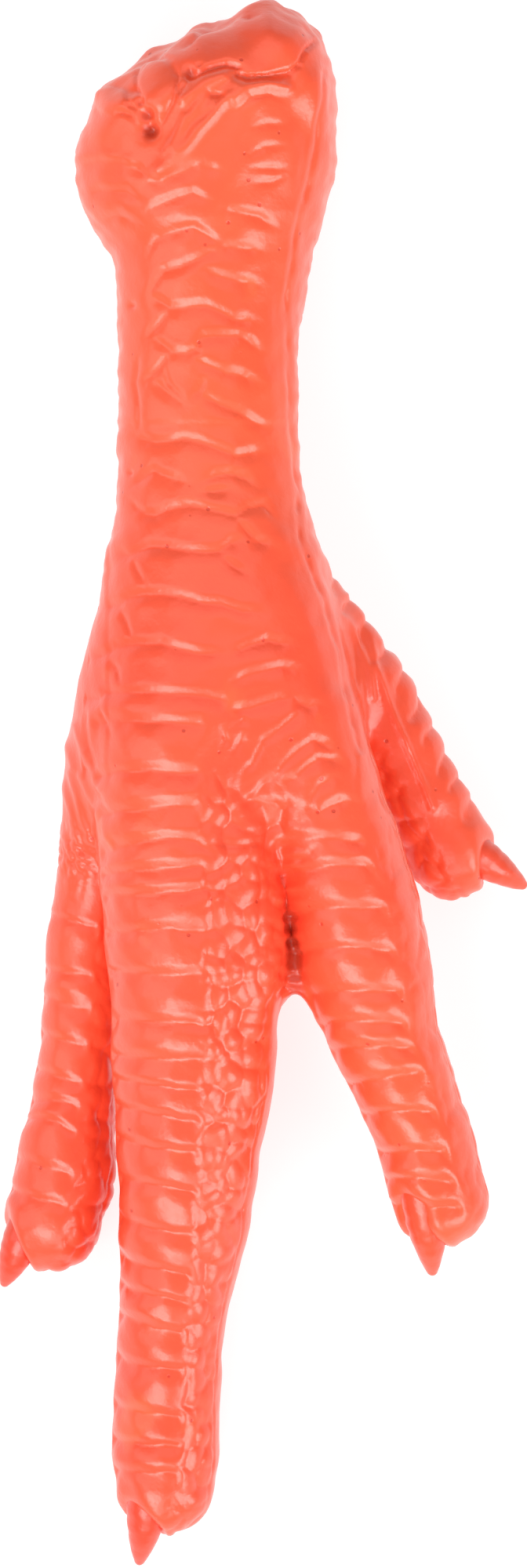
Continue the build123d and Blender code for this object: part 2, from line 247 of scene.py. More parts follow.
# fold of skin between the middle and the inner toe
def web(q):
    x0 = 3.8 - 0.02 * (q[:, 1] + 15)
    dx = np.abs(q[:, 0] - x0) - 6.0
    z0 = 23.4 + 0.10 * (q[:, 1] + 6)
    dz = np.abs(q[:, 2] - z0) - 2.2
    edge = np.maximum(-29.6 - 0.44 * (q[:, 0] - 4.6) ** 2, -34.5)
    dy = np.maximum(edge - q[:, 1], q[:, 1] - 6.0)
    g = np.stack([dx, dy, dz], -1)
    return np.linalg.norm(np.maximum(g, 0), axis=1) + np.minimum(g.max(1), 0) - 1.0


D = smin(D, box_field(web, (-6, -46, 14), (16, 10, 34)), 1.0)
D = smin(D, fields[3], k_hind * np.ones_like(D))
D = smin(D, fields[2], k_outer * np.ones_like(D))
for x, y, z, a, b, c, k in LUMPS:
    def lump(q, o=np.array([x, y, z]), r=np.array([a, b, c])):
        k0 = np.linalg.norm((q - o) / r, axis=1)
        k1 = np.linalg.norm((q - o) / r**2, axis=1) + 1e-9
        return k0 * (k0 - 1) / k1
    D = smin(D, box_field(lump, (x - a - 6, y - b - 6, z - c - 6), (x + a + 6, y + b + 6, z + c + 6)), k)

# outline of the hock's cut end, seen from above
OUTLINE = np.array([(-40, 80), (-31.0, 88.5), (-30.2, 92.0), (-28.4, 95.4), (-26.6, 98.3), (-24.8, 101.0), (-21.5, 103.6), (-17.6, 106.3),
                    (-13.0, 109.1), (-10.6, 110.9), (-7.6, 111.2), (-4.8, 112.0), (-2.6, 113.4), (0.4, 114.9), (1.9, 114.7), (3.6, 113.6),
                    (6.4, 112.2), (9.2, 109.6), (11.0, 106.8), (12.2, 103.4), (13.0, 97.8), (13.2, 92.0), (13.0, 86.0), (22, 80)], float)


def outline(q):
    """distance to the outline in plan, negative inside"""
    x, y = q[:, 0], q[:, 1]
    d = np.full(len(q), 1e9)
    inside = np.zeros(len(q), bool)
    n = len(OUTLINE)
    for k in range(n):
        (x0, y0), (x1, y1) = OUTLINE[k], OUTLINE[(k + 1) % n]
        t = np.clip(((x - x0) * (x1 - x0) + (y - y0) * (y1 - y0)) / ((x1 - x0) ** 2 + (y1 - y0) ** 2), 0, 1)
        if k < n - 1:
            d = np.minimum(d, np.hypot(x - x0 - t * (x1 - x0), y - y0 - t * (y1 - y0)))
        if y0 != y1:
            inside ^= ((y0 > y) != (y1 > y)) & (x < x0 + (y - y0) * (x1 - x0) / (y1 - y0))
    return np.where(inside, -d, d)


gx, gy = np.meshgrid(axes[0], axes[1][axes[1] > 84], indexing="ij")
plan = outline(np.stack([gx.ravel(), gy.ravel()], -1)).reshape(gx.shape)[:, :, None]
cutoff = D[:, axes[1] > 84, :]
plan = plan + 5.0 * ((axes[2][None, None, :] - 17.5) / 16.0) ** 2 * ramp(Y[:, axes[1] > 84, :], 92, 104)
D[:, axes[1] > 84, :] = -smin(-cutoff, -plan * np.ones_like(cutoff), 4.5 * ramp(Y[:, axes[1] > 84, :], 84, 96))

# recess of the squeaker, on the squeaker's own axis
lo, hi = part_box("squeaker_barrel")
TURN = math.radians(40.0)
OUT = np.array([0.0, math.cos(TURN), -math.sin(TURN)])
FACE = np.array([-2.5, 106.6, 7.2])


def recess(q):
    d = q - FACE
    along = d @ OUT
    r = np.linalg.norm(d - along[:, None] * OUT, axis=1)
    return np.maximum(r - 6.9 - 0.12 * np.maximum(along, 0), -1.0 - along)


pit = box_field(recess, FACE - 16, FACE + 22)
D = -smin(-D, pit, 0.8)
Z = axes[2][None, None, :]
D = np.maximum(D, 0.02 - Z)       # flat where it lies on the table

# twice as fine
for k in range(3):
    a = np.moveaxis(D, k, 0)
    b = np.empty((a.shape[0] * 2 - 1,) + a.shape[1:])
    b[::2] = a
    b[1::2] = 0.5 * (a[1:] + a[:-1])
    D = np.moveaxis(b, 0, k)
grid = openvdb.FloatGrid(background=6.0)
grid.copyFromArray(np.ascontiguousarray(D, np.float32))
points, quads = grid.convertToQuads(0.0)
P = LOW + np.asarray(points, float) * (H / 2)
Q = np.asarray(quads, np.int64)[:, ::-1]
del D, fields, pit


def build(name, verts, faces):
    """mesh object from arrays of millimetre points and quads"""
    me = bpy.data.meshes.new(name)
    me.vertices.add(len(verts))
    me.vertices.foreach_set("co", (verts * MM).astype(np.float32).ravel())
    n = faces.shape[1]
    me.loops.add(faces.size)
    me.loops.foreach_set("vertex_index", faces.astype(np.int32).ravel())
    me.polygons.add(len(faces))
    me.polygons.foreach_set("loop_start", np.arange(0, faces.size, n, dtype=np.int32))
    me.polygons.foreach_set("use_smooth", np.ones(len(faces), bool))
    me.update(calc_edges=True)
    me.validate()
    ob = bpy.data.objects.new(name, me)
    bpy.context.scene.collection.objects.link(ob)
    return ob


def vertex_normals(v, f):
    a, b, c, d = (v[f[:, k]] for k in range(4))
    fn = np.cross(c - a, d - b)
    out = np.zeros_like(v)
    for k in range(3):
        for j in range(4):
            out[:, k] += np.bincount(f[:, j], fn[:, k], minlength=len(v))
    return out / (np.linalg.norm(out, axis=1)[:, None] + 1e-12)


def relax(v, f, times, amount=0.5):
    """even out the points; keeps the count"""
    e = np.concatenate([f[:, [0, 1]], f[:, [1, 2]], f[:, [2, 3]], f[:, [3, 0]]])
    deg = np.bincount(e[:, 0], minlength=len(v)) + np.bincount(e[:, 1], minlength=len(v))
    for _ in range(times):
        m = np.zeros_like(v)
        for k in range(3):
            m[:, k] = np.bincount(e[:, 0], v[e[:, 1], k], minlength=len(v)) + np.bincount(e[:, 1], v[e[:, 0], k], minlength=len(v))
        v = v + amount * (m / deg[:, None] - v)
    return v


P = relax(P, Q, 2)
NRM = vertex_normals(P, Q)
if np.einsum("ij,ij->i", NRM, P - np.array([-8.0, 0, 18.0]))[np.argmax(P[:, 1])] < 0:
    Q = Q[:, ::-1]
    NRM = -NRM

# ------------------------------------------------------------------ surface detail
co = [l.coords(P) for l in LIMBS]
dist = np.stack([l.field(P) for l in LIMBS], -1)
W = np.exp(-(dist - dist.min(1)[:, None]) / 0.5)
W /= W.sum(1)[:, None]
theta = [np.degrees(np.arctan2(c[2] / c[5], c[1] / c[4])) for c in co]
X_, Y_, Z_ = P.T
up = NRM[:, 2]
disp = np.zeros(len(P))
wob = waves(P, 9.0, 3)
wob2 = waves(P, 4.0, 5)


def angle_from(th, centre):
    return (th - centre + 180) % 360 - 180


def plates(l, marks, right, left, bow, depth, above, below, crown=0.0, wobble=0.35, soft=9.0, top=None, tilt=0.0):
    """Overlapping plates across a limb.  marks: where the grooves cross the axis (y, mm).
    right and left: where the plates end, degrees round the limb, as (s, angle) pairs."""
    s, u, v, w, a, b = co[l]
    th = theta[l]
    r0 = np.interp(s, *right)
    l0 = np.interp(s, *left)
    mid = (r0 + l0) / 2
    off = angle_from(th, mid)
    half = (l0 - r0) / 2
    x = off / half
    g = LIMBS[l].s_at_y(np.asarray(marks, float))
    g = np.sort(g)
    arc = x if top is None else angle_from(th, top) / half
    sp = s + w - bow * arc**2 + tilt * x + wobble * wob * 0.6 + 0.12 * wob2
    i = np.searchsorted(g, sp)
    nxt = np.where(i < len(g), g[np.clip(i, 0, len(g) - 1)], 1e3) - sp
    prv = sp - np.where(i > 0, g[np.clip(i - 1, 0, len(g) - 1)], -1e3)
    span = np.clip(nxt + prv, 1.0, 8.0)
    wa = np.minimum(above, 0.75 * span)
    wb = np.minimum(below, 0.8 * span)
    h = -depth * np.maximum(np.clip(1 - nxt / wa, 0, 1) ** 1.25, np.clip(1 - prv / wb, 0, 1) ** 1.7)
    if crown:
        h = h + crown * np.sin(np.clip(prv / span, 0, 1) * math.pi) * (nxt < 50) * (prv < 50)
    edge = soft / np.maximum(half, 1)
    m = smooth((1 - np.abs(x)) / edge)
    first, last = g[0] - 1.5, g[-1] + 3.0
    m = m * ramp(sp, first - 1.5, first + 0.5) * ramp(sp, last + 1.5, last)
    return h, m


def flat(a):
    return (np.array([0.0, 1e3]), np.array([float(a), float(a)]))


def by_y(l, pairs):
    """(y, angle) pairs to (s, angle) arrays"""
    p = sorted((float(LIMBS[l].s_at_y(y)), a) for y, a in pairs)
    return np.array([q[0] for q in p]), np.array([q[1] for q in p])


total = np.zeros(len(P))
plated = np.zeros(len(P))

main_marks = [7.7, 1.6, -3.5, -7.9, -11.5, -14.8, -20.1, -26.6, -33.1, -38.1, -42.4, -46.5, -51.3, -56.9, -63.2, -69, -73.4, -77.7, -83.6, -90.9, -95.9, -100.3]
h, m = plates(0, main_marks,
              by_y(0, [(12, 74), (0, 75), (-12, 77), (-24, 79), (-36, 80), (-50, 78), (-64, 76), (-80, 70), (-92, 68), (-100, 70)]),
              by_y(0, [(12, 168), (-20, 172), (-50, 178), (-80, 178), (-100, 176)]),
              bow=0.55, depth=0.60, above=1.5, below=3.4, crown=0.12, top=108)
total += W[:, 0] * h * m
plated = np.maximum(plated, W[:, 0] * m)

inner_marks = [-6.9, -10.6, -16.4, -22.3, -28.2, -32.7, -36.3, -40.4, -45.3, -51.2, -55.4, -58.9]
h, m = plates(1, inner_marks,
              by_y(1, [(-2, 62), (-20, 58), (-40, 62), (-62, 66)]),
              by_y(1, [(-2, 150), (-20, 176), (-40, 180), (-62, 172)]),
              bow=1.5, depth=0.52, above=1.5, below=2.6, crown=0.12, top=104, tilt=1.6)
total += W[:, 1] * h * m * ramp(Y_, -4, -9)
plated = np.maximum(plated, W[:, 1] * m * ramp(Y_, -4, -9))

outer_marks = [-19.8, -27.1, -31.3, -37, -42.6, -46, -49.5, -56.1, -60.7]
h, m = plates(2, outer_marks, by_y(2, [(-10, 70), (-40, 78), (-62, 76)]), by_y(2, [(-10, 190), (-62, 186)]),
              bow=0.9, depth=0.42, above=1.3, below=3.2, crown=0.10, wobble=0.8)
total += W[:, 2] * h * m * ramp(Y_, -12, -17)
plated = np.maximum(plated, W[:, 2] * m * ramp(Y_, -12, -17))

hind_marks = [27.0, 23.6, 20.0, 16.4, 12.6, 9.0, 5.2, 1.6, -2.0, -5.2]
h, m = plates(3, hind_marks, flat(-30), flat(62), bow=0.9, depth=0.40, above=1.2, below=2.4, crown=0.10, wobble=0.7, soft=16.0)
total += W[:, 3] * h * m
plated = np.maximum(plated, W[:, 3] * m)

# grooves drawn on the front of the shank, hock and palm: layout of the pattern in plan
SHANK = [
    [(-16.7, 83.5), (-15, 84.4), (-12.7, 85.2), (-10.2, 85.9), (-8.1, 84.8)],
    [(-16.9, 77), (-16.3, 78.5), (-15.3, 79.6), (-13.2, 80.3), (-10.2, 81), (-8.5, 80), (-6.4, 78.5)],
    [(-6.4, 78.1), (-4, 78), (-0.3, 77.7)],
    [(-6.4, 78.5), (-7.4, 77.5), (-9, 76.7), (-10.2, 76.1), (-12.1, 75.3), (-14.4, 74.8), (-15.8, 73), (-16.8, 71)],
    [(-5.8, 83.5), (-3.1, 83), (-0.6, 82.5), (1.4, 81.2)],
    [(-8.6, 74.9), (-7.1, 74.1), (-5.5, 73.6), (-0.8, 72.7)],
    [(-16.7, 71.4), (-15.4, 70.4), (-13.6, 69.3), (-11.7, 69.3), (-10.1, 69.6), (-8.3, 69.6), (-6.2, 68.7), (-4, 67.6), (-1.3, 67.3)],
    [(-13.6, 69.3), (-15.1, 67.3), (-17.2, 65)],
    [(-16.3, 65.3), (-15.1, 64.2), (-13.2, 62.8), (-11.3, 62.7), (-10.1, 63.2), (-8.7, 65), (-7.1, 65.2), (-3.5, 65.3), (-2.2, 64.6), (-0.6, 63.2)],
    [(-13.6, 63), (-15.1, 61), (-17.4, 58.7)],
    [(-10.1, 61.9), (-8.3, 61), (-5.5, 59.9), (-3.1, 59.5), (-0.9, 58.4)],
    [(-16.3, 58.9), (-14.5, 57.3), (-11.6, 55.1)],
    [(-14.5, 61), (-14, 58.5), (-13, 57.3), (-11.6, 55.9)],
    [(-8.3, 59.5), (-9.4, 57.3), (-10.5, 56.1)],
    [(-9, 56.6), (-6.2, 55.2), (-3.5, 54.1), (0.1, 52)],
    [(-18.2, 62.2), (-18.9, 58.5), (-18.3, 55.4), (-18.2, 51.8)],
    [(-18.7, 50.6), (-15.9, 49.8), (-13.9, 49.9), (-11.5, 50.3), (-9.4, 49.9), (-6.8, 48.9), (-4, 47.8), (-2.1, 48.1), (-0.2, 48.4)],
    [(-19.2, 43.5), (-17.6, 44.7), (-16.1, 45.7), (-14.8, 45), (-13.2, 44.4), (-11.2, 43.8)],
    [(-8.5, 44), (-6.8, 45), (-4.7, 45.3), (-2.8, 44.7), (-1.3, 43.4)],
    [(-8.9, 42.4), (-6.8, 42.7), (-4.7, 43)],
    [(-19.6, 41.6), (-18.4, 40.1), (-17.2, 39.3), (-15.9, 39.1), (-14.1, 39.9), (-11.5, 40.5), (-10.1, 40.5), (-7.5, 39.9), (-4, 39.1), (-2.1, 40.2), (0, 40.6), (1.5, 39)],
    [(-16.9, 39), (-16.6, 37.3)],
    [(-22, 33.9), (-20.1, 33.4), (-18.3, 34), (-16.6, 34.6), (-14.1, 34.4), (-11.5, 34), (-8.2, 33.7), (-6.4, 33.9), (-4.7, 35.1), (-3.1, 35.5)],
    [(-19.6, 33.2), (-18.7, 31.5), (-17.2, 28.9)],
    [(-4, 39), (-2.8, 37.3), (-1, 35.5), (1.3, 34.6)],
    [(-6.1, 33.4), (-4.7, 31.9), (-2.4, 30.5)],
    [(-23.7, 25.8), (-21.3, 26.1), (-19.9, 27.1), (-17.6, 27.6), (-14.8, 27.6), (-11.5, 27.1), (-8.9, 26.3), (-6.1, 26.1), (-3.1, 25.1), (-0.7, 25)],
    [(-21.3, 25.8), (-20.2, 23.8), (-19.2, 21)],
    [(-25.3, 18.2), (-23, 19.1), (-21.3, 20), (-19, 20.4), (-14.8, 20.4), (-12.2, 19.6), (-8.9, 18.9), (-6.1, 18.9)],
    [(-4.4, 18.9), (-2.1, 20), (0.7, 20.9), (4, 20.2)],
    [(-22.8, 18.4), (-21.6, 16.7), (-20.9, 14.6)],
    [(-17.2, 87.3), (-14.5, 88.2), (-11.7, 89), (-9, 90.4)],
    [(-8.6, 89.7), (-6.2, 89.1)],
    [(-26.8, 90.6), (-24, 91), (-20.9, 90.5), (-18.5, 89.5), (-16.9, 88.2)],
    [(-25.8, 86.2), (-24, 86.6), (-20.2, 86.2), (-18.2, 84.9)],
    [(-23.7, 82.2), (-21.4, 82.8), (-18.9, 81.7)],
    [(-26.7, 12.3), (-24.3, 12.5), (-23.1, 13.3), (-21.4, 13.3), (-15.6, 13.3), (-11, 13), (-8.2, 12.7), (-6.2, 12.2), (-5.3, 10.8)],
    [(-4.1, 15), (-2.1, 15.9), (-0.1, 16.4), (2.8, 17), (5.1, 16.4)],
    [(-4.5, 10.8), (-2.1, 10.9), (-0.1, 11.6), (2.2, 12.3), (4.1, 12.5)],
    [(4.1, 13.1), (5.3, 11.8), (6.8, 11.2), (8.2, 11.5)],
    [(-2.8, 1.7), (-1.6, 2.9), (-0.7, 4.6), (0.2, 6.4), (1.8, 7.5), (3.7, 8.9), (5.4, 10.5)],
    [(-3.6, -3.6), (-1.6, -2.3), (0, -0.3), (1.8, 1.2), (3, 2.9), (4.8, 4.6), (7.4, 6.4), (9, 5.8), (10.2, 4.6)],
    [(2.4, 0.1), (4.5, 0.8), (6.2, 2.3), (8.3, 3.8), (10.3, 3.6), (11.5, 2.8)],
    [(5.8, -3.9), (6.7, -3.5), (7.2, -1.7), (8.4, -0.1), (10.3, 0.9)],
    [(7.9, -4.3), (9.7, -3.3), (11.4, -2.6), (12.8, -2.5)],
    [(4.1, -12.4), (5.1, -11.3), (6.8, -10.1), (7.7, -9.2)],
    [(-6.7, 1.7), (-5.9, -0.3), (-5.3, -1.4)],
    [(-5.9, 8.1), (-5.3, 6.3), (-5.9, 5.2)],
    [(-3.8, 8.6), (-2.8, 9.2), (-2.1, 10.3)],
    [(-4.1, 4.8), (-3.2, 6.3), (-2.8, 7.8)],
    [(-23.9, 11.5), (-23.5, 9.2), (-22.4, 7.2)],
    [(-25.8, 10.9), (-26, 8.1), (-25.8, 6.1), (-25.1, 3.5), (-24.4, 1.2)],
    [(-28.1, 7.5), (-27.4, 5.2), (-26.6, 2.9), (-25.9, 1.2)],
    [(-28.8, 4.6), (-28.1, 1.7), (-27.4, -0.6)],
    [(-25.1, 0), (-23.9, -2.5), (-22.8, -4.3)],
]
OVALS = [
    [(-4, 97.8), (-1.6, 99.9), (0.9, 100.5), (2.8, 99.6)],
    [(-1.3, 95.3), (0.6, 96), (3.1, 96)],
    [(-1.8, 91.5), (0.3, 92.7), (2.8, 92.9)],
    [(-1.6, 89.5), (0.9, 89.6), (3.1, 89.5)],
    [(-0.9, 87.3), (1.5, 87.6), (3.1, 88.5)],
    [(-9.9, 96.3), (-7.7, 98.3), (-6.2, 100.2), (-4, 101.4)],
]
CREASES = [
    [(-10.5, 103), (-7.7, 104.2), (-5.3, 104.9), (-3.7, 104.4), (-3.7, 103.3), (-2.2, 102.8), (0.6, 103), (3.7, 103.6), (5.2, 104.9), (6.4, 107.3), (7.7, 108.8)],
    [(-16.9, 106), (-14.8, 106), (-13.6, 105.5)],
    [(-11.7, 107.3), (-9.5, 109.5), (-7.1, 111.3)],
    [(-3.5, 111.9), (-0.9, 112.4)],
    [(-20.2, 101.4), (-19.6, 98.9), (-17.9, 97.8)],
    [(-13.1, 104.7), (-12.4, 102.8), (-12.7, 101), (-13.9, 98), (-15.1, 96.3)],
    [(-17.6, 105.6), (-18.6, 103.5), (-18.6, 101.4), (-17.5, 99.7)],
    [(-22, 98), (-20.5, 97.9), (-19.4, 97.4), (-18.4, 95.9)],
    [(-8.5, 100.3), (-6.2, 100.1), (-7.4, 98), (-9.7, 95.9)],
    [(-11, 102.4), (-12.4, 100.3), (-13.8, 97.8), (-15.1, 95.5)],
]


def segment_distance(x, y, x0, y0, x1, y1):
    dx, dy = x1 - x0, y1 - y0
    t = np.clip(((x - x0) * dx + (y - y0) * dy) / (dx * dx + dy * dy + 1e-12), 0, 1)
    ex, ey = x - (x0 + t * dx), y - (y0 + t * dy)
    return np.hypot(ex, ey), ey


def drawn(lines, depth, above, below, where, taper=True):
    """Grooves along lines of the pattern.  The side towards the hock (above) rounds down into them."""
    g = np.zeros(len(P))
    for line in lines:
        pts = np.array(line)
        lens = np.r_[0, np.cumsum(np.linalg.norm(np.diff(pts, axis=0), axis=1))]
        for k in range(len(pts) - 1):
            (x0, y0), (x1, y1) = pts[k], pts[k + 1]
            r = max(above, below)
            m = where & (X_ > min(x0, x1) - r) & (X_ < max(x0, x1) + r) & (Y_ > min(y0, y1) - r) & (Y_ < max(y0, y1) + r)
            if not m.any():
                continue
            i = np.nonzero(m)[0]
            d, ey = segment_distance(X_[i], Y_[i], x0, y0, x1, y1)
            cosang = abs(x1 - x0) / (math.hypot(x1 - x0, y1 - y0) + 1e-9)
            flatness = cosang ** 2
            side = np.where(ey > 0, above * (0.5 + 0.5 * flatness), 0.5 * above + (below - 0.5 * above) * flatness)
            h = -depth * (0.55 + 0.45 * flatness) * np.clip(1 - d / side, 0, 1) ** np.where(ey > 0, 1.25, 1.7)
            if taper:
                f = lens[k] + np.clip(((X_[i] - x0) * (x1 - x0) + (Y_[i] - y0) * (y1 - y0)) / ((x1 - x0) ** 2 + (y1 - y0) ** 2 + 1e-9), 0, 1) * (lens[k + 1] - lens[k])
                h = h * (0.35 + 0.65 * smooth(np.minimum(f, lens[-1] - f) / 1.6))
            g[i] = np.minimum(g[i], h)
    return g


front = (up > -0.15) & (W[:, 2] < 0.7) & (W[:, 3] < 0.5)
total += drawn(SHANK, 0.52, 1.35, 2.2, front)
total += drawn(OVALS, 0.3, 0.9, 1.0, front)
total += drawn(CREASES[:1], 0.95, 0.75, 1.2, front) + drawn(CREASES[1:], 0.6, 0.8, 0.9, front)
for x0, y0, r, depth in ((-16.6, 95.1, 1.2, 1.9), (-17.0, 97.4, 0.9, 1.3), (-10.7, 103.5, 0.9, 1.2), (-19.1, 101.0, 0.8, 0.5),
                         (-18.0, 99.3, 0.6, 0.6), (-9.3, 104.6, 0.3, 0.4), (-19.3, 69.9, 0.5, 0.5), (-19.5, 45.4, 0.35, 0.35)):
    d = np.hypot(X_ - x0, Y_ - y0)
    total -= depth * np.exp(-((d / r) ** 2)) * (up > 0)


def raised(line, height, width):
    """a rounded fold along a line"""
    d = np.full(len(P), 9.0)
    for (x0, y0), (x1, y1) in zip(line[:-1], line[1:]):
        i = np.nonzero((up > 0) & (np.abs(X_ - (x0 + x1) / 2) < 8) & (np.abs(Y_ - (y0 + y1) / 2) < 8))[0]
        d[i] = np.minimum(d[i], segment_distance(X_[i], Y_[i], x0, y0, x1, y1)[0])
    return height * np.exp(-((d / width) ** 2))


def dome(x0, y0, rx, ry, height):
    return height * np.sqrt(np.clip(1 - ((X_ - x0) / rx) ** 2 - ((Y_ - y0) / ry) ** 2, 0, 1)) * (up > 0)


total += dome(-15.5, 101.7, 2.7, 3.8, 0.5) + dome(-22.0, 99.6, 2.5, 2.1, 0.5)
total += raised([(-11.6, 99.5), (-8.6, 101.8), (-5.9, 102.9)], 0.75, 0.9)
total += raised([(-4.1, 101.4), (-7.6, 97.8), (-11.0, 93.2), (-15.1, 89.1)], 0.85, 1.1)
total += raised([(-8.5, 100.3), (-11.0, 96.6), (-13.1, 92.6)], 0.5, 0.6)
total += raised([(-11.5, 97.2), (-13.0, 94.0), (-14.4, 91.8)], 0.4, 0.5)
total += raised([(-4.1, 99.5), (-2.4, 101.2), (0.5, 101.8), (3.3, 101.4)], 0.6, 0.8)
total += raised([(-26.5, 91.6), (-22.5, 91.2), (-19.8, 90.6)], 0.4, 1.1)

for strand in ([(-30, 1.7), (-29, -1.2), (-28.1, -4.6), (-27.4, -8.6)],
               [(-28.5, 1.7), (-27.4, -1.4), (-26.5, -5.2), (-25.3, -8.3)],
               [(-26.7, 1.2), (-25.1, -2.3), (-23.7, -5.5), (-22.4, -9.2)],
               [(-26, 4.6), (-24.8, 1.7), (-23.9, -0.9)],
               [(-29.4, 7.5), (-28.5, 4.6), (-27.9, 2.3)],
               [(-27.6, 8.6), (-26.7, 5.8), (-26.2, 2.9)]):
    total += raised(strand, 0.28, 0.5)

# edge of the plates on the hind toe and folds running into it from the shank
total += raised([(16.3, 17.2), (17.7, 13.8), (19.4, 9.2), (21.7, 4), (23.5, 0), (24.8, -3.5)], 0.45, 0.6)
for fold in ([(11, 29.9), (13.3, 25.9), (15.6, 21.3), (16.6, 17.8)], [(12.2, 27.6), (14.5, 24.2), (17, 20.7)], [(12, 24.2), (14, 20.7), (15.4, 16.7), (15.9, 12.7)]):
    total += raised(fold, 0.35, 0.6)

# small rounded scales beside the plates and under the toes
s0, th0 = co[0][0], theta[0]
q = P + 0.5 * np.stack([waves(P, 6, 11), waves(P, 6, 12), waves(P, 6, 13)], -1)
f1, f2 = cells(q * np.array([0.95, 0.85, 0.45]), 2.5, 4)
small = 1.1 - (f1 / 0.62) ** 2
g1, g2 = cells(q * np.array([1.0, 1.15, 1.0]), 1.55, 9)
tiny = 1.05 - (g1 / 0.62) ** 2

side_main = W[:, 0] * ramp(Y_, 4, -6) * ramp(th0, 22, 34) * ramp(th0, 104, 84)
valley = (W[:, 0] + W[:, 1]) * ramp(Y_, 1, -4) * ramp(X_, -8.0, -5.4) * ramp(X_, 8.5, 3.5) * (up > 0) * ramp(Y_, -32, -26)
side_main = np.maximum(side_main, valley)
# below the right hand flash line and on the hidden side
under0 = W[:, 0] * ramp(Y_, 20, 6) * np.clip(ramp(-np.sin(np.radians(th0 + 4)), 0.0, 0.3), 0, 1)
th1, th2, th3 = theta[1], theta[2], theta[3]
side1 = W[:, 1] * ramp(Y_, 2, -8) * np.clip(ramp(np.cos(np.radians(th1)), 0.45, 0.65) + ramp(-np.sin(np.radians(th1)), 0.0, 0.3), 0, 1)
side2 = W[:, 2] * ramp(Y_, 0, -8) * np.clip(ramp(np.cos(np.radians(th2)), 0.2, 0.4) + ramp(-np.sin(np.radians(th2)), 0.0, 0.3), 0, 1)
side3 = W[:, 3] * np.clip(ramp(-np.sin(np.radians(th3)), 0.0, 0.3) + ramp(-np.cos(np.radians(th3)), 0.1, 0.4), 0, 1) * ramp(Y_, 26, 14)
bumpy = np.clip(side_main * (0.75 + 0.25 * ramp(Y_, -60, -40)) + 0.35 * side1 + 0.8 * side2 + side3 + under0, 0, 1) * (1 - 0.85 * plated)
hollow = np.exp(-(((X_ + 27.0) / 3.2) ** 2 + ((Y_ + 10.6) / 4.2) ** 2)) * (up > -0.2) * (1 - W[:, 0])
total += 0.42 * (small - 0.45) * bumpy + 0.4 * (tiny - 0.5) * hollow
pads = np.clip(ramp(-up, 0.35, 0.7), 0, 1) * ramp(Y_, 30, 14)
total += 0.22 * (tiny - 0.45) * pads

# back of the shank and hock: broad wrinkles and low bumps
back = ramp(up, 0.1, -0.35) * ramp(Y_, 8, 20)
b1, b2 = cells(q * np.array([0.8, 1.0, 0.8]), 3.4, 21)
total += 0.28 * (smooth((b2 - b1) / 0.35) - 0.5) * back
total += 0.18 * waves(P * np.array([0.25, 1.0, 0.25]), 3.0, 31) * back
# shallow ripple on the left and right edges of the shank
rim = ramp(np.abs(up), 0.45, 0.15) * ramp(Y_, 24, 36)
total += 0.12 * waves(P * np.array([0.3, 1.0, 0.3]), 2.6, 41) * rim

# end of the hock: lumpy cut
end = ramp(Y_, 92, 102)
total += 0.10 * waves(P, 6.5, 51) * end
face_end = ramp(NRM[:, 1], 0.25, 0.7) * ramp(Y_, 96, 102) * ramp(up, 0.5, 0.2)
total += (0.45 * waves(P, 9.0, 52) + 0.22 * waves(P, 4.5, 53)) * face_end
total += 0.10 * wob + 0.04 * wob2

# flash line of the mould along both sides
SEAM = [(8.7, 104), (8.5, 100.2), (8.1, 95.9), (7.1, 90.4), (6.4, 87.3), (5.6, 84.2), (4.6, 80.5), (4, 77), (3.5, 71.3), (3.2, 68.7), (3.5, 63.2), (3.8, 58.5), (4.1, 50.6), (4.8, 42.3), (5.5, 35.5), (7, 31.1), (8.9, 26.5), (10.1, 23), (11, 19.4), (12.1, 12.7), (13.3, 8.1), (14.3, 4.8)]
seam = np.zeros(len(P))
pts = np.array(SEAM)
pts[:, 0] += 0.18 * np.sin(np.arange(len(pts)) * 2.1)
near = np.full(len(P), 9.0)
sidey = np.zeros(len(P))
ok = (up > 0.0) & (W[:, 2] < 0.5)
for k in range(len(pts) - 1):
    (x0, y0), (x1, y1) = pts[k], pts[k + 1]
    i = np.nonzero(ok & (Y_ > min(y0, y1) - 2) & (Y_ < max(y0, y1) + 2) & (np.abs(X_ - (x0 + x1) / 2) < 5))[0]
    d, _ = segment_distance(X_[i], Y_[i], x0, y0, x1, y1)
    better = d < near[i]
    near[i] = np.where(better, d, near[i])
rag = 0.6 + 0.4 * np.clip(waves(P, 3.0, 61), -1, 1)
total -= 0.27 * rag * np.exp(-((near / 0.30) ** 2))
total += 0.06 * np.exp(-(((near - 0.8) / 0.4) ** 2))
for l, lo_y, hi_y, ang in ((0, -104, -42, 27), (1, -62, 8, 14), (2, -66, -18, 24), (3, -8, 26, -24), (0, -104, 100, 205), (1, -62, -32, 200)):
    s, u, v, w, a, b = co[l]
    off = np.radians(angle_from(theta[l], ang)) * (a + b) / 2 + 0.25 * waves(P, 7.0, 71 + l)
    m = W[:, l] ** 2 * ramp(Y_, lo_y - 2, lo_y + 2) * ramp(Y_, hi_y + 2, hi_y - 2)
    total -= 0.27 * rag * np.exp(-((off / 0.30) ** 2)) * m
    total += 0.06 * np.exp(-(((off - 0.8) / 0.35) ** 2)) * m

# walls of the slot between the middle and the inner toe
slot = ramp(Y_, -4, -10) * ramp(Y_, -34, -28) * np.exp(-(((X_ - (3.6 + 0.015 * (Y_ + 20))) / 2.2) ** 2)) * ramp(Z_, 20, 24)
total += 0.22 * waves(P * np.array([0.3, 1.0, 0.3]), 1.6, 81) * slot

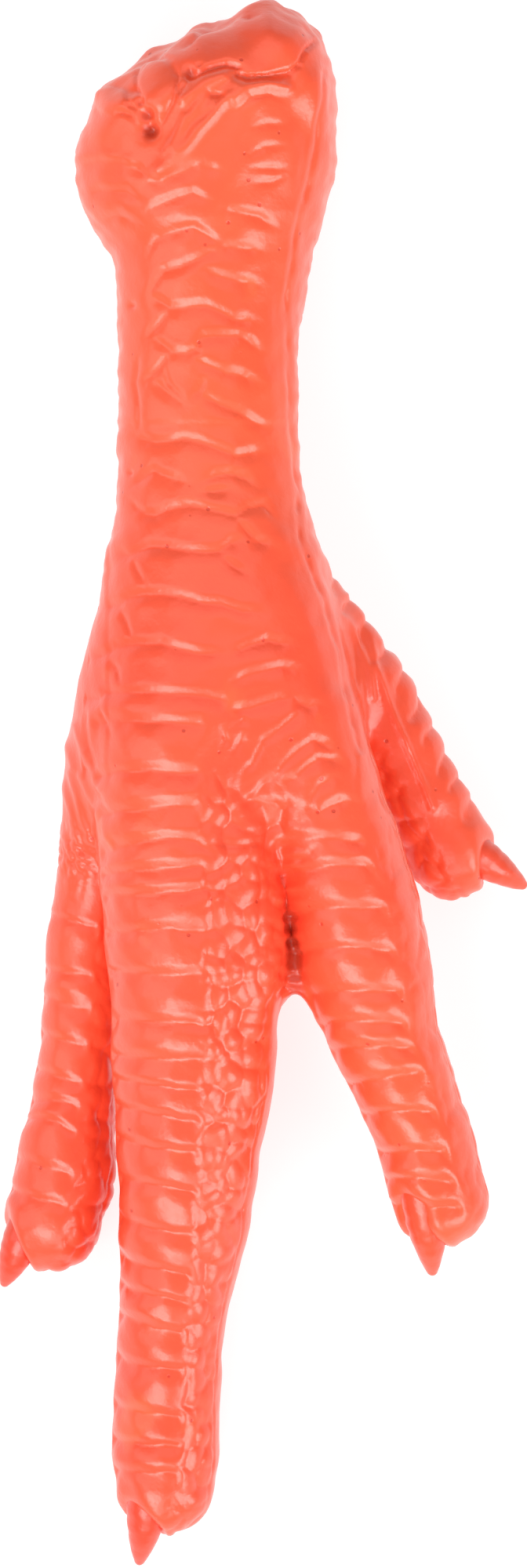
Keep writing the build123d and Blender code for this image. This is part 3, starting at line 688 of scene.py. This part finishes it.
# ------------------------------------------------------------------ claws
CLAWS = {
    "middle": ((-16.1, -100.4, 10.8), (-18.4, -115.4, 5.4), 3.5, 2.1),
    "inner": ((23.1, -57.4, 21.6), (24.9, -72.2, 15.4), 3.5, 1.6),
    "outer": ((-34.4, -64.2, 8.2), (-38.5, -74.3, 4.4), 3.0, 1.2),
    "hind": ((28.4, -8.5, 9.0), (38.9, -15.3, 4.8), 3.1, 1.0),
}


def claw_axis(spec, f):
    a, b, r, rise = (np.array(spec[0]), np.array(spec[1]), spec[2], spec[3])
    f = np.asarray(f, float)
    p = a + (b - a) * f[:, None]
    p[:, 2] += rise * 4 * f * (1 - f)
    rad = r * np.interp(f, [0, 0.25, 0.45, 0.62, 0.78, 0.9, 0.97, 1.0], [1.0, 0.97, 0.88, 0.74, 0.54, 0.34, 0.2, 0.0])
    return p, rad


# cuticle: a fold where a claw leaves the toe, and a groove round the claw
for i_, (name, spec) in enumerate(CLAWS.items()):
    p, rad = claw_axis(spec, np.linspace(0, 1, 25))
    m = np.nonzero(np.linalg.norm(P - np.array(spec[0]), axis=1) < spec[2] * 3.4)[0]
    d = np.linalg.norm(P[m][:, None, :] - p[None], axis=2) - rad[None]
    d = d.min(1)
    total[m] += -0.75 * np.exp(-((d / 0.5) ** 2)) + 0.34 * np.exp(-(((d - 1.25) / 0.7) ** 2))

P2 = P + NRM * total[:, None]
P2[:, 2] = np.maximum(P2[:, 2], 0.02 + 0.0 * P2[:, 2])
NRM2 = vertex_normals(P2, Q)

# ------------------------------------------------------------------ cut into pieces
fc = P2[Q].mean(1)
fw = W[Q].mean(1)
BENDS = {   # body: limb, middle of the bend, direction of the toe, where the piece starts and where it is fully bent
    "middle": (0, (-10.3, -33.0, 23.4), (0.0, -0.986, -0.165), 2.0, 8.0),
    "inner": (1, (16.6, -33.0, 22.0), (0.295, -0.947, -0.125), 2.4, 6.0),
    "outer": (2, (-26.9, -16.0, 12.6), (-0.09, -0.984, -0.150), 0.5, 5.0),
    "hind": (3, (22.9, -0.4, 9.6), (0.495, -0.845, -0.200), 0.5, 4.0),
}
owner = np.zeros(len(Q), int)
for i, (body, (l, c, t, before, after)) in enumerate(BENDS.items(), 1):
    t = np.array(t) / np.linalg.norm(t)
    past = (fc - np.array(c)) @ t > -before
    owner[past & (fw.argmax(1) == l)] = i


def skin_material(name, tint=(0.95, 0.097, 0.042), rough=0.30):
    mat = bpy.data.materials.new(name)
    mat.use_nodes = True
    nt = mat.node_tree
    nodes, links = nt.nodes, nt.links
    bsdf = nodes["Principled BSDF"]
    bsdf.inputs["Specular IOR Level"].default_value = 0.5
    bsdf.inputs["IOR"].default_value = 1.5
    bsdf.inputs["Coat Weight"].default_value = 0.2
    bsdf.inputs["Coat Roughness"].default_value = 0.22
    bsdf.inputs["Sheen Weight"].default_value = 0.0
    tc = nodes.new("ShaderNodeTexCoord")
    # blotches of colour
    n1 = nodes.new("ShaderNodeTexNoise")
    n1.inputs["Scale"].default_value = 38
    n1.inputs["Detail"].default_value = 4
    r1 = nodes.new("ShaderNodeValToRGB")
    r1.color_ramp.elements[0].position = 0.32
    r1.color_ramp.elements[1].position = 0.72
    r1.color_ramp.elements[0].color = (tint[0] * 0.97, tint[1] * 0.86, tint[2] * 0.80, 1)
    r1.color_ramp.elements[1].color = (tint[0], tint[1] * 1.12, tint[2] * 1.1, 1)
    links.new(tc.outputs["Object"], n1.inputs["Vector"])
    links.new(n1.outputs["Fac"], r1.inputs["Fac"])
    # broad warmer patches
    n0 = nodes.new("ShaderNodeTexNoise")
    n0.inputs["Scale"].default_value = 14
    n0.inputs["Detail"].default_value = 2
    r0 = nodes.new("ShaderNodeValToRGB")
    r0.color_ramp.elements[0].position = 0.5
    r0.color_ramp.elements[1].position = 0.75
    r0.color_ramp.elements[0].color = (0, 0, 0, 1)
    r0.color_ramp.elements[1].color = (0.28, 0.28, 0.28, 1)
    warm = nodes.new("ShaderNodeMix")
    warm.data_type = "RGBA"
    links.new(tc.outputs["Object"], n0.inputs["Vector"])
    links.new(n0.outputs["Fac"], r0.inputs["Fac"])
    links.new(r0.outputs["Color"], warm.inputs[0])
    links.new(r1.outputs["Color"], warm.inputs[6])
    warm.inputs[7].default_value = (0.98, 0.150, 0.040, 1)
    # rare yellowish streaks of the second pour
    n2 = nodes.new("ShaderNodeTexNoise")
    n2.inputs["Scale"].default_value = 90
    n2.inputs["Detail"].default_value = 3
    r2 = nodes.new("ShaderNodeValToRGB")
    r2.color_ramp.elements[0].position = 0.66
    r2.color_ramp.elements[1].position = 0.76
    r2.color_ramp.elements[0].color = (0, 0, 0, 1)
    r2.color_ramp.elements[1].color = (0.2, 0.2, 0.2, 1)
    mix = nodes.new("ShaderNodeMix")
    mix.data_type = "RGBA"
    links.new(tc.outputs["Object"], n2.inputs["Vector"])
    links.new(n2.outputs["Fac"], r2.inputs["Fac"])
    links.new(r2.outputs["Color"], mix.inputs[0])
    links.new(warm.outputs[2], mix.inputs[6])
    mix.inputs[7].default_value = (0.9, 0.22, 0.06, 1)
    # pinholes: painted shade darkens the colour inside them; the same marks are also bumped below
    vo = nodes.new("ShaderNodeTexVoronoi")
    vo.inputs["Scale"].default_value = 210
    r3 = nodes.new("ShaderNodeValToRGB")
    r3.color_ramp.elements[0].position = 0.045
    r3.color_ramp.elements[1].position = 0.075
    r3.color_ramp.elements[0].color = (0.72, 0.5, 0.45, 1)
    r3.color_ramp.elements[1].color = (1, 1, 1, 1)
    pinhole_shade = nodes.new("ShaderNodeMix")
    pinhole_shade.data_type = "RGBA"
    pinhole_shade.blend_type = "MULTIPLY"
    pinhole_shade.inputs[0].default_value = 1.0
    links.new(tc.outputs["Object"], vo.inputs["Vector"])
    links.new(vo.outputs["Distance"], r3.inputs["Fac"])
    links.new(mix.outputs[2], pinhole_shade.inputs[6])
    links.new(r3.outputs["Color"], pinhole_shade.inputs[7])
    # painted shade: the base colour is darkened towards the toes' ends and claws, where the light falls off
    sep = nodes.new("ShaderNodeSeparateXYZ")
    r5 = nodes.new("ShaderNodeMapRange")
    r5.inputs["From Min"].default_value = -0.095
    r5.inputs["From Max"].default_value = -0.025
    r5.inputs["To Min"].default_value = 0.55
    r5.inputs["To Max"].default_value = 0.0
    toe_end_shade = nodes.new("ShaderNodeMix")
    toe_end_shade.data_type = "RGBA"
    toe_end_shade.blend_type = "MULTIPLY"
    toe_end_shade.inputs[7].default_value = (0.88, 0.72, 0.68, 1)
    links.new(tc.outputs["Object"], sep.inputs[0])
    links.new(sep.outputs["Y"], r5.inputs["Value"])
    links.new(r5.outputs["Result"], toe_end_shade.inputs[0])
    links.new(pinhole_shade.outputs[2], toe_end_shade.inputs[6])
    # painted shade: a dark brown tint in the deepest pits of the hock and low in the slot beside the middle toe
    def number(op, *values):
        n = nodes.new("ShaderNodeMath")
        n.operation = op
        for k, v in enumerate(values):
            if isinstance(v, (int, float)):
                n.inputs[k].default_value = v
            else:
                links.new(v, n.inputs[k])
        return n.outputs[0]

    def fade(v, lo, hi, at_lo, at_hi):
        n = nodes.new("ShaderNodeMapRange")
        n.interpolation_type = "SMOOTHSTEP"
        for key, value in (("From Min", lo), ("From Max", hi), ("To Min", at_lo), ("To Max", at_hi)):
            n.inputs[key].default_value = value
        links.new(v, n.inputs["Value"])
        return n.outputs["Result"]

    px, py, pz = sep.outputs["X"], sep.outputs["Y"], sep.outputs["Z"]
    axis = number("MULTIPLY_ADD", py, -0.0875, 0.00215)
    low = number("MULTIPLY", fade(py, -0.026, -0.010, 0.6, 0.0), fade(pz, 0.0265, 0.0300, 1.0, 0.0))
    pit_shade = number("MULTIPLY", fade(number("ABSOLUTE", number("SUBTRACT", px, axis)), 0.0005, 0.0019, 1.0, 0.0), low)
    above = fade(pz, 0.018, 0.024, 0.0, 1.0)
    for x0, y0, r, f in ((-0.0165, 0.0950, 0.0017, 0.75), (-0.0170, 0.0974, 0.0013, 0.6), (-0.0107, 0.1036, 0.0009, 0.45)):
        dx, dy = number("SUBTRACT", px, x0), number("SUBTRACT", py, y0)
        d = number("SQRT", number("ADD", number("MULTIPLY", dx, dx), number("MULTIPLY", dy, dy)))
        pit_shade = number("MAXIMUM", pit_shade, number("MULTIPLY", fade(d, r * 0.2, r, f, 0.0), above))
    # painted shade multiplied into the base colour of the pits and the slot
    pit_shade_mix = nodes.new("ShaderNodeMix")
    pit_shade_mix.data_type = "RGBA"
    pit_shade_mix.blend_type = "MULTIPLY"
    pit_shade_mix.inputs[7].default_value = (0.42, 0.30, 0.30, 1)
    links.new(pit_shade, pit_shade_mix.inputs[0])
    links.new(toe_end_shade.outputs[2], pit_shade_mix.inputs[6])
    links.new(pit_shade_mix.outputs[2], bsdf.inputs["Base Color"])
    # roughness: dull and shiny patches
    n4 = nodes.new("ShaderNodeTexNoise")
    n4.inputs["Scale"].default_value = 60
    n4.inputs["Detail"].default_value = 6
    r4 = nodes.new("ShaderNodeMapRange")
    r4.inputs["To Min"].default_value = rough - 0.08
    r4.inputs["To Max"].default_value = rough + 0.12
    links.new(tc.outputs["Object"], n4.inputs["Vector"])
    links.new(n4.outputs["Fac"], r4.inputs["Value"])
    links.new(r4.outputs["Result"], bsdf.inputs["Roughness"])
    # fine leather-like grain and pinholes as bump
    n5 = nodes.new("ShaderNodeTexNoise")
    n5.inputs["Scale"].default_value = 1400
    n5.inputs["Detail"].default_value = 3
    b1_ = nodes.new("ShaderNodeBump")
    b1_.inputs["Strength"].default_value = 0.35
    b1_.inputs["Distance"].default_value = 0.00012
    b2_ = nodes.new("ShaderNodeBump")
    b2_.inputs["Strength"].default_value = 0.6
    b2_.inputs["Distance"].default_value = 0.0002
    n6 = nodes.new("ShaderNodeTexNoise")
    n6.inputs["Scale"].default_value = 330
    n6.inputs["Detail"].default_value = 4
    b3_ = nodes.new("ShaderNodeBump")
    b3_.inputs["Strength"].default_value = 0.30
    b3_.inputs["Distance"].default_value = 0.0004
    links.new(tc.outputs["Object"], n5.inputs["Vector"])
    links.new(tc.outputs["Object"], n6.inputs["Vector"])
    links.new(n5.outputs["Fac"], b1_.inputs["Height"])
    links.new(r3.outputs["Color"], b2_.inputs["Height"])
    links.new(n6.outputs["Fac"], b3_.inputs["Height"])
    links.new(b1_.outputs["Normal"], b2_.inputs["Normal"])
    links.new(b2_.outputs["Normal"], b3_.inputs["Normal"])
    links.new(b3_.outputs["Normal"], bsdf.inputs["Normal"])
    return mat


rubber = skin_material("rubber_skin")
# painted shade: the claws' tint is darker than the skin's, standing in for the shade on the tips
shaded_claw_rubber = skin_material("rubber_claw_painted_shade", tint=(0.80, 0.066, 0.028), rough=0.28)


def part_of(name, keep):
    faces = Q[keep]
    used, inv = np.unique(faces, return_inverse=True)
    ob = build(name, P2[used], inv.reshape(faces.shape))
    ob.data.materials.append(rubber)
    ob.data.normals_split_custom_set_from_vertices(NRM2[used].astype(np.float32))
    return ob


leg = part_of("leg_rubber", owner == 0)
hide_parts("leg_skin")
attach(leg, "leg")
for i, (body, (l, c, t, before, after)) in enumerate(BENDS.items(), 1):
    toe = part_of(body + "_toe_rubber", owner == i)
    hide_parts(body + "_toe")
    t = np.array(t) / np.linalg.norm(t)
    a, b = (np.array(c) - before * t) * MM, (np.array(c) + after * t) * MM
    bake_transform(toe)
    print(toe.name, len(toe.data.polygons) * 2)
print(leg.name, len(leg.data.polygons) * 2)

# claws: lofted rings with faint growth ridges
for name, spec in CLAWS.items():
    rings, around = 34, 28
    f = 1 - (1 - np.linspace(0, 1, rings)) ** 1.35
    p, rad = claw_axis(spec, f)
    tan = np.gradient(p, axis=0)
    tan /= np.linalg.norm(tan, axis=1)[:, None]
    x = np.cross(np.array([0, 0, 1.0]), tan)
    x /= np.linalg.norm(x, axis=1)[:, None]
    v = np.cross(tan, x)
    ang = np.linspace(0, 2 * math.pi, around, endpoint=False)
    ridge = 1 + 0.012 * np.sin(f * 46)
    ring = rad[:, None] * ridge[:, None] * (1 - 0.07 * (np.sin(ang)[None] < 0) * np.abs(np.sin(ang))[None])
    verts = (p[:, None] + ring[..., None] * (np.cos(ang)[None, :, None] * x[:, None] + 1.04 * np.sin(ang)[None, :, None] * v[:, None])).reshape(-1, 3)
    verts = verts + 0.03 * waves(verts, 2.5, 91)[:, None]
    idx = np.arange(rings * around).reshape(rings, around)
    nx = np.roll(idx, -1, axis=1)
    faces = np.stack([idx[:-1], nx[:-1], nx[1:], idx[1:]], -1).reshape(-1, 4)
    ob = build(name + "_shaded_claw_rubber", verts, faces)
    ob.data.materials.append(shaded_claw_rubber)
    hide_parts(name + "_claw")
    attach(ob, name)


# ------------------------------------------------------------------ squeaker (CAD shapes, own materials)
def plastic(name, colour, rough):
    mat = bpy.data.materials.new(name)
    mat.use_nodes = True
    nt = mat.node_tree
    bsdf = nt.nodes["Principled BSDF"]
    tc = nt.nodes.new("ShaderNodeTexCoord")
    n = nt.nodes.new("ShaderNodeTexNoise")
    n.inputs["Scale"].default_value = 300
    n.inputs["Detail"].default_value = 5
    r = nt.nodes.new("ShaderNodeValToRGB")
    r.color_ramp.elements[0].color = tuple(c * 0.9 for c in colour) + (1,)
    r.color_ramp.elements[1].color = tuple(colour) + (1,)
    m = nt.nodes.new("ShaderNodeMapRange")
    m.inputs["To Min"].default_value = rough - 0.06
    m.inputs["To Max"].default_value = rough + 0.08
    b = nt.nodes.new("ShaderNodeBump")
    b.inputs["Strength"].default_value = 0.15
    b.inputs["Distance"].default_value = 0.0001
    nt.links.new(tc.outputs["Object"], n.inputs["Vector"])
    nt.links.new(n.outputs["Fac"], r.inputs["Fac"])
    nt.links.new(n.outputs["Fac"], m.inputs["Value"])
    nt.links.new(n.outputs["Fac"], b.inputs["Height"])
    nt.links.new(r.outputs["Color"], bsdf.inputs["Base Color"])
    nt.links.new(m.outputs["Result"], bsdf.inputs["Roughness"])
    nt.links.new(b.outputs["Normal"], bsdf.inputs["Normal"])
    return mat


white = plastic("squeaker_plastic", (0.80, 0.77, 0.70), 0.4)
reed_film = plastic("reed_film", (0.62, 0.62, 0.56), 0.3)
for node in ("squeaker_barrel", "squeaker_cap", "reed_holder", "reed_wedge", "reed"):
    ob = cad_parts[node]
    mat = reed_film if node == "reed" else white
    if not ob.data.materials:
        ob.data.materials.append(mat)
    for k in range(len(ob.data.materials)):
        ob.data.materials[k] = mat

# ------------------------------------------------------------------ floor, light, camera
fme = bpy.data.meshes.new("floor")
S = 3.0
fme.from_pydata([(-S, -S, -0.0002), (S, -S, -0.0002), (S, S, -0.0002), (-S, S, -0.0002)], [], [(0, 1, 2, 3)])
floor = bpy.data.objects.new("floor", fme)
bpy.context.scene.collection.objects.link(floor)
fmat = bpy.data.materials.new("floor")
fmat.use_nodes = True
fb = fmat.node_tree.nodes["Principled BSDF"]
fb.inputs["Base Color"].default_value = (0.3, 0.3, 0.3, 1)
fb.inputs["Emission Color"].default_value = (1, 1, 1, 1)
fb.inputs["Emission Strength"].default_value = 0.78
fb.inputs["Roughness"].default_value = 0.9
fb.inputs["Specular IOR Level"].default_value = 0.1
fme.materials.append(fmat)

world = bpy.data.worlds.new("studio")
bpy.context.scene.world = world
world.use_nodes = True
world.node_tree.nodes["Background"].inputs["Color"].default_value = (1, 1, 1, 1)
world.node_tree.nodes["Background"].inputs["Strength"].default_value = 0.27


def area(name, loc, size, power, target=(0, 0, 0.015)):
    l = bpy.data.lights.new(name, "AREA")
    l.shape = "RECTANGLE"
    l.size, l.size_y = size
    l.energy = power
    ob = bpy.data.objects.new(name, l)
    ob.location = loc
    d = np.array(target) - np.array(loc)
    from mathutils import Vector
    ob.rotation_euler = Vector(d).to_track_quat("-Z", "Y").to_euler()
    bpy.context.scene.collection.objects.link(ob)


area("front_left", (-0.72, -0.99, 1.37), (1.2, 0.9), 20.0)
area("front_right", (1.20, -0.80, 0.95), (1.0, 1.0), 18.0)
area("front", (-0.12, -1.48, 1.05), (1.4, 0.7), 7.6)
area("left", (-1.20, 0.1, 0.95), (0.8, 1.4), 5.2)
area("top", (0.0, 0.75, 1.25), (1.8, 1.2), 5.8)

cam = bpy.data.cameras.new("camera")
cam.lens = 250
cam.sensor_width = 36
cam.clip_start = 0.05
cam.clip_end = 20
camera = bpy.data.objects.new("camera", cam)
camera.location = (0.0, 0.0, 0.018 + 0.230 * 250 / 36)
camera.rotation_euler = (0, 0, 0)
bpy.context.scene.collection.objects.link(camera)
bpy.context.scene.camera = camera
bpy.context.scene.view_settings.view_transform = "Standard"
bpy.context.scene.view_settings.look = "None"
